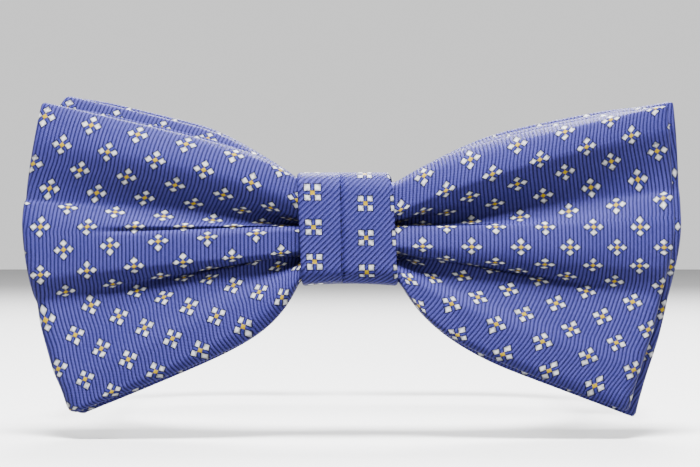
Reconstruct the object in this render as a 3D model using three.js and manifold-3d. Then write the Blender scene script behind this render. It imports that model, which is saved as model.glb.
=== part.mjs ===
// A pre-tied double bow tie in woven silk repp, closed as it is worn, with its neckband and clasp.
// Millimetres, +Z up. The bow faces -Y and the neckband runs round the neck towards +Y.
// The origin is on the flat back of the knot, which rests against the shirt collar.

import * as THREE from "three";
import { ParametricGeometry } from "three/addons/geometries/ParametricGeometry.js";
import { mergeVertices } from "three/addons/utils/BufferGeometryUtils.js";
import Module from "manifold-3d";

// Cloth and clearances
const GAP = 0.3; // left between pieces that touch
const BOW_PLY = 0.5; // one layer of a bow's silk, or of its interlining
const KNOT_PLY = 0.7; // the knot's folded silk
const KNOT_CORE = 0.5; // the knot's interlining
const THREAD_BAND = 0.6; // the gathering thread, wound one turn deep
const THREAD = 0.35; // sewing thread

// Front bow, measured from the middle of the knot
const WING_REACH = 62.3; // to the farthest point of a wing's end fold
const TOP_CORNER = { x: 58.2, z: 24.4 };
const BOTTOM_CORNER = { x: 52.3, z: -34.5 };
const UPPER_VALLEY = 0.32; // share of the strip's width down to the valley below the top pleat
const LOWER_VALLEY = 0.62; // and down to the valley above the bottom pleat
const LOWER_VALLEY_END = 0.655; // which sinks to this share of the wing's height at its end
const FARTHEST_ROW = 0.4; // share of the width where the end fold reaches farthest
const PLEAT_DEPTH = 1.5;
const PLEAT_STEEPNESS = 5.1; // a pleat's steepest slope, over its depth as a share of the half height
const PLEAT_AT_MIDDLE = 0.35; // share of that depth in the middle of the knot
const PLEAT_EASE = 0.45; // share of it that is lost by the wing's end
const WINGS_BEND_BACK = 2.5; // how far the wing ends curve back towards the shoulders
const FRONT_PUFF = 2.0; // how far the front ply stands forward of its place in the knot
const MIDDLE_SPREAD = 1.3; // how far the plies between the two loops move back
const REAR_SPREAD = 4.0; // how far the rearmost ply moves back
const SPREAD_OVER = 31; // length of wing over which the plies move apart
const CORE_INSET = 3.2; // the interlining's fold ends this far inside the silk's
const LOOPS_APART = 0.4; // more room between the two loops, whose pleats don't quite line up
const REAR_SHIFT = 0.6; // the rear bow's wings lie a little to one side
const REAR_MORE = 1.2; // and stands this much past the front bow's corners, above and below
const REAR_REACH_MORE = 0.4; // and this much past its end folds

// Knot
const KNOT_WIDTH = 18;
const KNOT_HEIGHT = 21.6;
const KNOT_CORNER = 2.5;
const KNOT_TIER = 0.7; // the upper fold of the knot stands this much proud of the lower one
const KNOT_TIER_EDGE = -1.3; // where that fold ends, from the middle of the knot
const WING_START = 0.2; // the wings begin to flare this far outside the knot
const WINDING_WIDTH = 5;
const WINDING_CORNER = 1;
const WINDING_SLACK = 0.4; // more room in the winding's ends, where the pleats splay
const SEAM_HEIGHT = -7.4; // the slip-stitched seam on the back of the knot
const SEAM_DEPTH = 0.5;
const SEAM_WIDTH = 1.2;
const SEAM_MARGIN = 2; // from the ends of the stitching to the knot's side edges
const SEAM_STITCHES = 7;

// Neckband
const STRAP = 1.0; // silk with its stiffener fused inside
const STRAP_WIDTH = 16;
const NECK_HALF_WIDTH = 54; // to the middle of the strap
const SIDE_STRAIGHT = 46;
const BACK_RADIUS = 32;
const STRAP_ENDS_APART = 0.3; // the two straps butt behind the knot
const STRAIGHT_PAST_KNOT = 2; // before the straps turn round the neck
const STRAP_MOUTH = 1; // a strap wider than the knot's inside is full width again this far outside it
const BARTACK_WIDTH = 0.8;
const BARTACK_MARGIN = 2; // from the ends of a bartack to the strap's edges

// Clasp and slider, all of the same metal
const BAR = 1.4; // diameter of the bars that the straps turn round
const METAL = 1.0;
const RAIL = 1.4; // height of the rails that pass above and below the strap
const SLIDER_LENGTH = 11;
const SLIDER_BAR_WIDTH = 2;
const SLIDER_TRAVEL = 15;
const SLIDER_FROM_TURN = 1; // least room between the slider and the strap's front turn
const STRAP_END_TURN_UP = 5;
const STRAP_END_LAP = 3; // least lap of the sewn end on the strap at the end of its travel
const STRAP_END_TACK = 1.2; // from the slider's strap loop to its bartack
const HOOK_BAR_X = 10;
const HOOK_PLATE = 2.6;
const HOOK_NOSE_HEIGHT = 8;
const NOSE_LIFT = 0.5; // the nose bridges the gap to the catch this far outside the plate
const PLATE_CLEARANCE = 0.8; // from the strap's end loop, so that the plate swings past it
const CATCH_BAR_X = -12;
const CATCH_LENGTH = 10.2; // from its bar to the edge that the tongue hooks over
const CATCH_FREE_BAR = 1.8;
const CATCH_TAIL = 6; // of strap, past the bend that closes it up
const TAIL_BEND_RADIUS = 6;
const TAIL_TACK = 10; // from the catch's bar to the bartack that holds the tail
const TONGUE_HEIGHT = 6;
const TONGUE_DIP = 2.1; // how far the tongue reaches through the catch, past its outer face
const HOOK_PLAY = 0.8; // between the tongue and the catch's free bar

// Where things are, from the back of the knot forwards
const knotCoreBack = -KNOT_PLY - GAP;
const strapBack = knotCoreBack - KNOT_CORE - GAP;
const strapY = strapBack - STRAP / 2;
const windingBack = strapBack - STRAP - GAP;
const rearmostLayer = windingBack - THREAD_BAND - GAP - BOW_PLY / 2;
const knotHalf = KNOT_WIDTH / 2;
const ringInnerTop = KNOT_HEIGHT / 2 - KNOT_PLY - GAP - KNOT_CORE;
const bowHalfAtKnot = ringInnerTop - GAP;
const strapHalfInKnot = bowHalfAtKnot - 2 * GAP; // at most, clear of the knot's round corners
const pleatSlope = PLEAT_STEEPNESS * PLEAT_DEPTH / bowHalfAtKnot;
const layerPitch = (BOW_PLY + GAP) * Math.hypot(1, pleatSlope); // clear on the steepest slope
const flareStart = knotHalf + WING_START;
const bowHalfAtMiddle = bowHalfAtKnot - THREAD_BAND - GAP - WINDING_SLACK;
const frontLayer = rearmostLayer - 7 * layerPitch - LOOPS_APART;
const windingFront = frontLayer - pleatAt(WINDING_WIDTH / 2) - BOW_PLY / 2 - GAP;
const bowFrontAtKnot = frontLayer - pleatAt(knotHalf) - BOW_PLY / 2;
const coreFront = Math.min(windingFront - THREAD_BAND, bowFrontAtKnot) - GAP;
const knotFront = coreFront - KNOT_CORE - GAP - KNOT_PLY;

const frontRadius = NECK_HALF_WIDTH - knotHalf - STRAIGHT_PAST_KNOT;
const sideStart = strapY + frontRadius;
const sideEnd = sideStart + SIDE_STRAIGHT;
const tailTackX = CATCH_BAR_X - TAIL_TACK;
const backRadius = Math.min(BACK_RADIUS, NECK_HALF_WIDTH + tailTackX); // the clasp lies on the straight
const backY = sideEnd + backRadius;
const loopRadius = BAR / 2 + GAP + STRAP / 2;
const loopY = backY - loopRadius;
const railInner = STRAP_WIDTH / 2 + GAP;
const railOuter = railInner + RAIL;
const sliderY = sideStart + SLIDER_FROM_TURN + SLIDER_LENGTH / 2 + SLIDER_TRAVEL / 2;
const sliderBarX = NECK_HALF_WIDTH - STRAP / 2 - GAP - STRAP / 2 - loopRadius;
const tackY = sliderY + loopRadius + STRAP / 2 + STRAP_END_TACK;
const strapTailX = sliderBarX - loopRadius;
const innerPlyEndY = tackY + SLIDER_TRAVEL / 2 + BARTACK_WIDTH / 2 + GAP;
const strapEndTail = innerPlyEndY + STRAP_END_LAP - sliderY + SLIDER_TRAVEL / 2;

const wasm = await Module();
wasm.setup();

// ---- Helpers ----

function mix(from, to, share) {
  return from + (to - from) * share;
}

function finish(name, geometry, material) {
  const mesh = new THREE.Mesh(geometry, material);
  mesh.name = name;
  return mesh;
}

// A three.js geometry as a closed solid that can be joined and cut.
function solid(geometry) {
  const bare = geometry.clone();
  bare.deleteAttribute("normal");
  bare.deleteAttribute("uv");
  const merged = mergeVertices(bare, 1e-4);
  const vertProperties = merged.attributes.position.array;
  const triVerts = new Uint32Array(merged.index.array);
  return new wasm.Manifold(new wasm.Mesh({ numProp: 3, vertProperties, triVerts }));
}

function geometryOf(made) {
  const { vertProperties, triVerts } = made.getMesh();
  const geometry = new THREE.BufferGeometry();
  geometry.setAttribute("position", new THREE.BufferAttribute(vertProperties, 3));
  geometry.setIndex(new THREE.BufferAttribute(triVerts, 1));
  return geometry;
}

function joined(geometries) {
  return geometryOf(geometries.map(solid).reduce((sum, piece) => sum.add(piece)));
}

function box(x, y, z) {
  const geometry = new THREE.BoxGeometry(x[1] - x[0], y[1] - y[0], z[1] - z[0]);
  return geometry.translate((x[0] + x[1]) / 2, (y[0] + y[1]) / 2, (z[0] + z[1]) / 2);
}

function uprightBar(x, y, halfLength) {
  const geometry = new THREE.CylinderGeometry(BAR / 2, BAR / 2, 2 * halfLength, 16);
  return geometry.rotateX(Math.PI / 2).translate(x, y, 0);
}

// A rounded rectangle in the Y and Z directions, as a Shape or as a hole in one.
function roundedOutline(y0, y1, halfHeight, radius, outline) {
  outline.moveTo(y0 + radius, -halfHeight);
  outline.lineTo(y1 - radius, -halfHeight);
  outline.absarc(y1 - radius, -halfHeight + radius, radius, -Math.PI / 2, 0);
  outline.absarc(y1 - radius, halfHeight - radius, radius, 0, Math.PI / 2);
  outline.absarc(y0 + radius, halfHeight - radius, radius, Math.PI / 2, Math.PI);
  outline.absarc(y0 + radius, -halfHeight + radius, radius, Math.PI, 1.5 * Math.PI);
  return outline;
}

// A sleeve round the middle of the bow: a rounded ring in Y and Z, with its length along X.
function sleeve(x, inner, wall, radius, frontWall = wall) {
  const outerRadius = Math.min(radius, inner.halfHeight + wall);
  const innerRadius = Math.max(outerRadius - wall, 0.3);
  const ring = roundedOutline(
    inner.front - frontWall, inner.back + wall, inner.halfHeight + wall, outerRadius, new THREE.Shape());
  ring.holes.push(roundedOutline(
    inner.front, inner.back, inner.halfHeight, innerRadius, new THREE.Path()));
  const geometry = new THREE.ExtrudeGeometry(ring, {
    depth: x[1] - x[0], bevelEnabled: false, curveSegments: 4,
  });
  const turn = new THREE.Matrix4().makeBasis(
    new THREE.Vector3(0, 1, 0), new THREE.Vector3(0, 0, 1), new THREE.Vector3(1, 0, 0));
  return geometry.applyMatrix4(turn).translate(x[0], 0, 0);
}

// ---- Bow loops ----

// The pleats deepen from the middle of the knot to its edge, then ease out along the wing.
function pleatAt(distance) {
  const gathered = mix(PLEAT_AT_MIDDLE, 1, Math.min(1, distance / (KNOT_WIDTH / 2)));
  return PLEAT_DEPTH * gathered * (1 - PLEAT_EASE * distance / WING_REACH);
}

// Lines that run out from the knot along the wing: the top edge, the two valleys between the
// pleats and the bottom edge. Each leaves the knot at its own height and settles on a straight
// line to the wing's end fold. Its height at the knot is a share of the knot's half height.
function wingLines(more) {
  const top = TOP_CORNER.z + more;
  const bottom = BOTTOM_CORNER.z - more;
  const upper = mix(top, bottom, UPPER_VALLEY);
  const lower = mix(top, bottom, LOWER_VALLEY_END);
  const [upperX, lowerX] = [reachAt(UPPER_VALLEY), reachAt(LOWER_VALLEY)];
  return [
    { across: 0, end: top, endX: TOP_CORNER.x, slope: 0.245, knot: 1, flare: 6 },
    { across: UPPER_VALLEY, end: upper, endX: upperX, slope: 0.04, knot: 0.12, flare: 12 },
    { across: LOWER_VALLEY, end: lower, endX: lowerX, slope: -0.16, knot: -0.55, flare: 10 },
    { across: 1, end: bottom, endX: BOTTOM_CORNER.x, slope: -0.38, knot: -1, flare: 4.5 },
  ];
}

function lineHeight(line, distance) {
  const gathered = Math.min(1, distance / flareStart) ** 2;
  const held = line.knot * mix(bowHalfAtMiddle, bowHalfAtKnot, gathered);
  if (distance <= flareStart) {
    return held;
  }
  const straight = line.end + line.slope * (distance - line.endX);
  const straightAtKnot = line.end + line.slope * (flareStart - line.endX);
  return straight + (held - straightAtKnot) * Math.exp((flareStart - distance) / line.flare);
}

// Places across the strip, from its top edge to its bottom edge, with a ridge between valleys.
const rows = [];
for (const [from, to] of [[0, UPPER_VALLEY], [UPPER_VALLEY, LOWER_VALLEY], [LOWER_VALLEY, 1]]) {
  for (const share of [0, 1 / 3, 2 / 3]) {
    rows.push({ across: mix(from, to, share), ridge: Math.sin(Math.PI * share) });
  }
}
rows.push({ across: 1, ridge: 0 });

function rowHeight(lines, across, distance) {
  const next = Math.max(1, lines.findIndex((line) => line.across >= across));
  const [above, below] = [lines[next - 1], lines[next]];
  const share = (across - above.across) / (below.across - above.across);
  return mix(lineHeight(above, distance), lineHeight(below, distance), share);
}

// The end fold is an arc: the strip reaches farthest a little above its middle.
function reachAt(across) {
  const fromFarthest = (across - FARTHEST_ROW) / (1 - FARTHEST_ROW);
  return WING_REACH - (WING_REACH - BOTTOM_CORNER.x) * fromFarthest ** 2;
}

// Y of one layer, where layer 0 is the front ply's silk and layer 7 the rearmost silk.
const layers = [1, 0.95, 0.75, 0.7, 0.5, 0.45, 0.25, 0.2].map((pleat, index) => ({
  pleat,
  knotY: frontLayer + index * layerPitch + (index > 3 ? LOOPS_APART : 0),
  spread: [-FRONT_PUFF, MIDDLE_SPREAD, MIDDLE_SPREAD, REAR_SPREAD][index >> 1],
}));

function layerY(layer, distance, ridge) {
  const open = THREE.MathUtils.smoothstep(distance, knotHalf, knotHalf + SPREAD_OVER);
  const bend = WINGS_BEND_BACK * (distance / WING_REACH) ** 2;
  return layer.knotY + layer.spread * open + bend - layer.pleat * ridge * pleatAt(distance);
}

// Places along one wing, as shares of the way from the knot to the end fold, and the middle.
const wingShares = [1, 0.985, 0.93, 0.82, 0.65, 0.45, 0.22, 0.08, 0];
const stations = [];
for (const [ply, hand] of [["front", 1], ["front", -1], ["back", -1], ["back", 1]]) {
  const outward = ply === "front" ? hand < 0 : hand > 0;
  const shares = outward ? [null, ...[...wingShares].reverse()] : [...wingShares, null];
  stations.push(...shares.slice(0, -1).map((share) => ({ hand, share, ply })));
}

// How far a loop is still open at a share of the way to its end fold.
function openness(share) {
  return Math.sqrt(1 - Math.min(1, share) ** 5);
}

// Draws a loop's front and rear together about their middle.
function closeUp(pair, amount) {
  const centre = (pair.front + pair.rear) / 2;
  return { front: mix(centre, pair.front, amount), rear: mix(centre, pair.rear, amount) };
}

// One strip of cloth in a flattened loop: the front ply, the end folds and the back ply.
// It goes once round the loop, and once round the strip's own thin section. A core is the
// interlining, one layer inside the silk loop of the same bow.
function clothLoop({ front, back, shift, more, reachMore }, isCore) {
  const lines = wingLines(more);
  const sections = 2 * rows.length;
  const silkFront = layers[front];
  const silkBack = layers[back];
  const coreFrontLayer = layers[front + 1];
  const coreBackLayer = layers[back - 1];

  // The middle of the cloth. A share of null is the middle of the knot.
  function middle(index, row) {
    const { hand, share, ply } = stations[(index + stations.length) % stations.length];
    const silkReach = reachAt(row.across) + reachMore;
    const inset = isCore ? CORE_INSET * share ** 4 : 0;
    const distance = share === null ? 0 : mix(flareStart, silkReach, share) - inset;
    const silkShare = Math.max(0, (distance - flareStart) / (silkReach - flareStart));
    const frontY = layerY(silkFront, distance, row.ridge);
    const rearY = layerY(silkBack, distance, row.ridge);
    let pair = closeUp({ front: frontY, rear: rearY }, openness(silkShare));
    if (isCore) {
      pair.front += layerY(coreFrontLayer, distance, row.ridge) - frontY;
      pair.rear += layerY(coreBackLayer, distance, row.ridge) - rearY;
      pair = closeUp(pair, openness(share ?? 0));
    }
    const y = ply === "front" ? pair.front : pair.rear;
    const x = hand * distance + shift * (share ?? 0);
    return new THREE.Vector3(x, y, rowHeight(lines, row.across, distance));
  }

  const surface = (u, v, target) => {
    const step = Math.round(v * sections) % sections;
    const outside = step < rows.length;
    const row = rows[outside ? step : sections - 1 - step];
    const index = Math.round(u * stations.length);
    const run = middle(index + 1, row).sub(middle(index - 1, row)).setZ(0).normalize();
    const offset = (outside ? 0.5 : -0.5) * BOW_PLY;
    target.copy(middle(index, row));
    target.x -= run.y * offset;
    target.y += run.x * offset;
  };
  return geometryOf(solid(new ParametricGeometry(surface, stations.length, sections)));
}

// ---- Straps ----

const WIDE_TURN = 10; // turns of a larger radius take finer steps
const WIDE_TURN_STEP = 9;
const TIGHT_TURN_STEP = 30;

// Points along a run of straights, [length], and turns, [radius, degrees], where a turn to the
// left is positive. Each point carries the direction to its left.
function route(x, y, heading, runs) {
  const points = [];
  const mark = () => points.push({ x, y, leftX: -Math.sin(heading), leftY: Math.cos(heading) });
  mark();
  for (const [size, degrees] of runs) {
    const turn = THREE.MathUtils.degToRad(degrees ?? 0);
    const stepDegrees = size > WIDE_TURN ? WIDE_TURN_STEP : TIGHT_TURN_STEP;
    const steps = degrees ? Math.ceil(Math.abs(degrees) / stepDegrees) : 1;
    for (let step = 0; step < steps; step += 1) {
      const chord = degrees ? 2 * size * Math.sin(Math.abs(turn) / steps / 2) : size;
      heading += turn / steps / 2;
      x += chord * Math.cos(heading);
      y += chord * Math.sin(heading);
      heading += turn / steps / 2;
      mark();
    }
  }
  return points;
}

// A strap standing on edge along a route, mirrored across the middle when side is -1.
function strap(points, side = 1) {
  const edge = (offset) => points.map((point) => new THREE.Vector2(
    side * (point.x + point.leftX * offset), point.y + point.leftY * offset));
  const outline = [...edge(STRAP / 2), ...edge(-STRAP / 2).reverse()];
  const geometry = new THREE.ExtrudeGeometry(new THREE.Shape(outline), {
    depth: STRAP_WIDTH, bevelEnabled: false,
  });
  return geometry.translate(0, 0, -STRAP_WIDTH / 2);
}

// A strap wider than the inside of the knot is narrowed to pass through it.
function throughKnot(geometry) {
  const x = [-knotHalf - STRAP_MOUTH, knotHalf + STRAP_MOUTH];
  const y = [strapY - STRAP, strapY + STRAP];
  const above = solid(box(x, y, [strapHalfInKnot, strapHalfInKnot + STRAP_WIDTH]));
  const below = solid(box(x, y, [-strapHalfInKnot - STRAP_WIDTH, -strapHalfInKnot]));
  return geometryOf(solid(geometry).subtract(above).subtract(below));
}

const roundNeck = [
  [knotHalf + STRAIGHT_PAST_KNOT - STRAP_ENDS_APART / 2],
  [frontRadius, 90],
  [SIDE_STRAIGHT],
  [backRadius, 90],
];

function adjustingHalf() {
  const backRun = NECK_HALF_WIDTH - backRadius - HOOK_BAR_X;
  const innerRadius = backRadius - 2 * loopRadius;
  return throughKnot(strap(route(STRAP_ENDS_APART / 2, strapY, 0, [
    ...roundNeck,
    [backRun],
    [loopRadius, 180],
    [backRun],
    [innerRadius, -90],
    [sideEnd - innerPlyEndY],
  ])));
}

// The fixed half ends in a loop round the catch's bar, and its tail closes up to the strap.
function fixedHalf() {
  const backRun = NECK_HALF_WIDTH - backRadius + CATCH_BAR_X;
  const close = 2 * loopRadius - STRAP - GAP;
  const bend = THREE.MathUtils.radToDeg(Math.acos(1 - close / 2 / TAIL_BEND_RADIUS));
  return throughKnot(strap(route(STRAP_ENDS_APART / 2, strapY, 0, [
    ...roundNeck,
    [backRun],
    [loopRadius, 180],
    [TAIL_BEND_RADIUS, bend],
    [TAIL_BEND_RADIUS, -bend],
    [CATCH_TAIL],
  ]), -1));
}

// ---- Build ----

function cloth(color) {
  return new THREE.MeshStandardMaterial({ color, roughness: 0.55, metalness: 0 });
}

function canvas() {
  return new THREE.MeshStandardMaterial({ color: 0xe8e2d4, roughness: 0.95, metalness: 0 });
}

function thread() {
  return new THREE.MeshStandardMaterial({ color: 0x2c3f8c, roughness: 0.7, metalness: 0 });
}

function metal() {
  return new THREE.MeshStandardMaterial({ color: 0xb9bcc0, roughness: 0.25, metalness: 1 });
}

const silkBlue = 0x5b6cc0;
const bow = new THREE.Group();

function addBows() {
  const bows = {
    front_bow: { front: 0, back: 3, shift: 0, more: 0, reachMore: 0 },
    rear_bow: { front: 4, back: 7, shift: REAR_SHIFT, more: REAR_MORE, reachMore: REAR_REACH_MORE },
  };
  for (const [name, loop] of Object.entries(bows)) {
    bow.add(finish(`${name}_silk`, clothLoop(loop, false), cloth(silkBlue)));
    bow.add(finish(`${name}_interlining`, clothLoop(loop, true), canvas()));
  }
}

function addWinding() {
  const inside = {
    front: windingFront,
    back: windingBack - THREAD_BAND,
    halfHeight: bowHalfAtMiddle + GAP + WINDING_SLACK,
  };
  const half = WINDING_WIDTH / 2;
  bow.add(finish("centre_winding", sleeve([-half, half], inside, THREAD_BAND, WINDING_CORNER), thread()));
}

function addKnot() {
  const coreInside = { front: coreFront, back: knotCoreBack - KNOT_CORE, halfHeight: ringInnerTop };
  const silkInside = {
    front: coreFront - KNOT_CORE - GAP,
    back: -KNOT_PLY,
    halfHeight: KNOT_HEIGHT / 2 - KNOT_PLY,
  };
  const full = [-knotHalf, knotHalf];
  const coreRadius = KNOT_CORNER - KNOT_PLY - GAP;
  const lower = sleeve(full, silkInside, KNOT_PLY, KNOT_CORNER);
  const upper = sleeve(
    [-knotHalf, KNOT_TIER_EDGE], silkInside, KNOT_PLY, KNOT_CORNER, KNOT_PLY + KNOT_TIER);
  const seam = box(
    [-KNOT_WIDTH, KNOT_WIDTH],
    [-SEAM_DEPTH, SEAM_DEPTH],
    [SEAM_HEIGHT - SEAM_WIDTH / 2, SEAM_HEIGHT + SEAM_WIDTH / 2]);
  const silk = solid(lower).add(solid(upper)).subtract(solid(seam));
  bow.add(
    finish("knot_interlining", sleeve(full, coreInside, KNOT_CORE, coreRadius), canvas()),
    finish("knot_silk", geometryOf(silk), cloth(silkBlue)),
    finish("knot_closing_stitches", closingStitches(), thread()),
  );
}

// One thread that runs to and fro across the seam, sunk below the cloth's face.
function closingStitches() {
  const width = SEAM_WIDTH - 2 * GAP;
  const pitch = (KNOT_WIDTH - 2 * SEAM_MARGIN) / SEAM_STITCHES;
  const outline = new THREE.Shape();
  const edge = (lift) => {
    const points = [];
    for (let index = 0; index <= SEAM_STITCHES; index += 1) {
      const side = index % 2 ? 1 : -1;
      const x = -knotHalf + SEAM_MARGIN + index * pitch;
      points.push(new THREE.Vector2(x, side * (width / 2 - THREAD / 4) + lift));
    }
    return points;
  };
  outline.setFromPoints([...edge(-THREAD / 4), ...edge(THREAD / 4).reverse()]);
  const geometry = new THREE.ExtrudeGeometry(outline, { depth: THREAD / 2, bevelEnabled: false });
  return geometry.rotateX(Math.PI / 2).translate(0, -SEAM_DEPTH / 2 + THREAD / 4, SEAM_HEIGHT);
}

// The sewn end of the adjusting strap: it turns round the slider's middle bar.
function strapEnd() {
  return strap(route(strapTailX, sliderY + strapEndTail, -Math.PI / 2, [
    [strapEndTail],
    [loopRadius, 180],
    [STRAP_END_TURN_UP],
  ]));
}

function slider() {
  const endBarX = [NECK_HALF_WIDTH + STRAP / 2 + GAP, NECK_HALF_WIDTH + STRAP / 2 + GAP + METAL];
  const railX = [sliderBarX - BAR / 2, endBarX[1]];
  const half = SLIDER_LENGTH / 2;
  const pieces = [uprightBar(sliderBarX, sliderY, railOuter - RAIL / 2)];
  for (const side of [-1, 1]) {
    const far = sliderY + side * half;
    const near = sliderY + side * (half - SLIDER_BAR_WIDTH);
    pieces.push(box(endBarX, [Math.min(far, near), Math.max(far, near)], [-railOuter, railOuter]));
    const [low, high] = side > 0 ? [railInner, railOuter] : [-railOuter, -railInner];
    pieces.push(box(railX, [sliderY - half, sliderY + half], [low, high]));
  }
  return joined(pieces);
}

// Rails that reach from a bar past the strap's end loop.
function rails(x) {
  const y = [loopY - METAL / 2, loopY + METAL / 2];
  return [box(x, y, [railInner, railOuter]), box(x, y, [-railOuter, -railInner])];
}

const platePast = loopRadius + STRAP / 2 + PLATE_CLEARANCE;
const noseY = [loopY + METAL / 2 + NOSE_LIFT, loopY + METAL * 1.5 + NOSE_LIFT];
const catchBarRight = CATCH_BAR_X + CATCH_LENGTH;
const catchBarLeft = catchBarRight - CATCH_FREE_BAR;
const tongueRight = catchBarLeft - HOOK_PLAY;

function hook() {
  const plateRight = HOOK_BAR_X - platePast;
  const plateLeft = plateRight - HOOK_PLATE;
  const plateY = [loopY - METAL / 2, loopY + METAL / 2];
  const nose = [-HOOK_NOSE_HEIGHT / 2, HOOK_NOSE_HEIGHT / 2];
  const tongue = [-TONGUE_HEIGHT / 2, TONGUE_HEIGHT / 2];
  return joined([
    uprightBar(HOOK_BAR_X, loopY, railOuter - RAIL / 2),
    ...rails([plateLeft, HOOK_BAR_X + BAR / 2]),
    box([plateLeft, plateRight], plateY, [-railOuter, railOuter]),
    box([plateLeft, plateLeft + METAL], [plateY[0], noseY[1]], nose),
    box([tongueRight - METAL, plateLeft + METAL], noseY, nose),
    box([tongueRight - METAL, tongueRight], [loopY + METAL / 2 - TONGUE_DIP, noseY[1]], tongue),
  ]);
}

function catchRing() {
  return joined([
    uprightBar(CATCH_BAR_X, loopY, railOuter - RAIL / 2),
    ...rails([CATCH_BAR_X - BAR / 2, catchBarRight]),
    box([catchBarLeft, catchBarRight], [loopY - METAL / 2, loopY + METAL / 2], [-railOuter, railOuter]),
  ]);
}

// A dense bar of stitching across a strap, between x or y limits.
function bartack(x, y) {
  const half = STRAP_WIDTH / 2 - BARTACK_MARGIN;
  return box(x, y, [-half, half]);
}

function addNeckband() {
  const tailY = backY - STRAP / 2 - GAP - STRAP - GAP;
  const halfTack = BARTACK_WIDTH / 2;
  const between = [strapTailX + STRAP / 2 + GAP, strapTailX + 2 * loopRadius - STRAP / 2 - GAP];
  bow.add(
    finish("neckband_adjusting_half", adjustingHalf(), cloth(silkBlue)),
    finish("neckband_fixed_half", fixedHalf(), cloth(silkBlue)),
    finish("adjuster_strap_end", strapEnd(), cloth(silkBlue)),
    finish("adjuster_bartack", bartack(between, [tackY - halfTack, tackY + halfTack]), thread()),
    finish("catch_end_bartack",
      bartack([tailTackX - halfTack, tailTackX + halfTack], [tailY - THREAD, tailY]), thread()),
    finish("slider", slider(), metal()),
    finish("hook", hook(), metal()),
    finish("catch", catchRing(), metal()),
  );
}

addBows();
addWinding();
addKnot();
addNeckband();

export default bow;
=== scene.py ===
"""A pre-tied double bow tie in patterned silk repp, closed as it is worn, with its neckband and clasp."""

import math
import bpy
import numpy as np
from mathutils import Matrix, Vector


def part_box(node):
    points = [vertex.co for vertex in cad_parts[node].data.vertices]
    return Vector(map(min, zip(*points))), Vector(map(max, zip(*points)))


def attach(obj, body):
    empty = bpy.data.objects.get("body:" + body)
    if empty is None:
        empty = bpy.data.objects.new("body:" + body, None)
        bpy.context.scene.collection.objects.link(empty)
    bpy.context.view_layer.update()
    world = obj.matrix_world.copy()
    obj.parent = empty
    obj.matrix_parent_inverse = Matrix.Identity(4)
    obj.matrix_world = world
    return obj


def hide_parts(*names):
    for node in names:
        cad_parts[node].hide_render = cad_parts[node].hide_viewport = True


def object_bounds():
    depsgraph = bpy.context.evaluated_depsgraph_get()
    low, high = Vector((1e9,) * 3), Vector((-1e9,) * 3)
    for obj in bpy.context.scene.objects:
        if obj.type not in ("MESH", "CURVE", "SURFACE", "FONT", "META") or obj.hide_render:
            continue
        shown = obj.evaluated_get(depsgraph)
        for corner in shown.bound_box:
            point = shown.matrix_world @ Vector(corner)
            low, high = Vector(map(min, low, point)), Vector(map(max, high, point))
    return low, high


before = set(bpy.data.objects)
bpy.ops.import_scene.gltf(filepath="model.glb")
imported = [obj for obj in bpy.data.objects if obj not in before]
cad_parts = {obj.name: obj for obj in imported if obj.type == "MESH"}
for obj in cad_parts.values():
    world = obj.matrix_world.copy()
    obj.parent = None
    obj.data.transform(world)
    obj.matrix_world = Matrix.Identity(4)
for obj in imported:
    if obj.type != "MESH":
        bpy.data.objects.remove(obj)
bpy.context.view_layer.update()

MM = 0.001

# Cloth, in millimetres
STRIP = 64.4  # finished width of a bow's silk sleeve
SLEEVE = 1.2  # its thickness over the interlining
POCKET = 0.62  # the space inside it
POCKET_INSET = 0.9  # from the folded edges to that space
INTERLINING = 0.4
INTERLINING_INSET = 1.5
KNOT_EDGE = 9.2  # where the wings leave the knot
KNOT_DRAW_IN = 0.86  # the cloth is this much narrower in the middle of the knot
UNDER_KNOT = 0.7  # how far in under the knot the pleats start
END_TURN = 2.0  # length over which a loop turns at its end fold
MIDDLE_ROW = 25.6  # the row of cloth that runs straight out along each wing
TOP_ROWS = 12  # rows this near the strip's top edge lift, or are drawn in, towards the edge
RIB = 0.75  # from one rib of the repp to the next
MOTIF_STEP = 9.3  # from one motif to the next along the strip
MOTIF_ROW = 4.6  # from one row of motifs to the next, across the strip

# Lines of the cloth that run out along a wing. Each has its place across the strip, its height
# where it leaves the knot and 50 mm out, its slope there, the distance over which it flares out
# of the knot, and how far forward of the valley floors it stands at the knot and farther out.
LEFT_WING = [
    (0, 9.2, 22.4, 0.228, 6.3, 2.6, 2.2),
    (2.6, 8.6, 20.0, 0.2, 4.5, 4.2, 3.6),
    (7.2, 5.2, 15.6, 0.14, 14, 5.0, 4.8),
    (11.8, 1.9, 11.3, 0.13, 14, 3.0, 3.4),
    (16.4, 1.5, 7.5, 0.08, 20, 0.0, 1.5),
    (18.4, 1.3, 5.2, 0.05, 14, 0.0, 0.9),
    (21.0, 1.1, 3.7, 0.11, 16, 0.0, 1.8),
    (25.6, 0.8, 0.4, 0.0, 25, 1.2, 3.8),
    (30.2, -0.2, -3.5, -0.09, 10, 4.6, 4.2),
    (34.8, -4.2, -7.9, -0.09, 10, 4.4, 4.1),
    (39.4, -5.1, -11.3, -0.165, 10, 0.0, 1.2),
    (41.6, -5.25, -12.2, -0.2, 10, 0.0, 0.5),
    (44.0, -5.4, -14.0, -0.37, 19, 0.0, 1.3),
    (48.6, -5.65, -19.2, -0.43, 5, 0.0, 2.2),
    (53.2, -5.9, -24.1, -0.485, 4, 0.3, 3.0),
    (57.8, -6.4, -28.6, -0.44, 13, 3.0, 3.6),
    (62.4, -8.9, -33.2, -0.46, 6.5, 4.6, 3.4),
    (STRIP, -9.35, -34.1, -0.4, 4.2, 3.4, 2.6),
]
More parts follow.
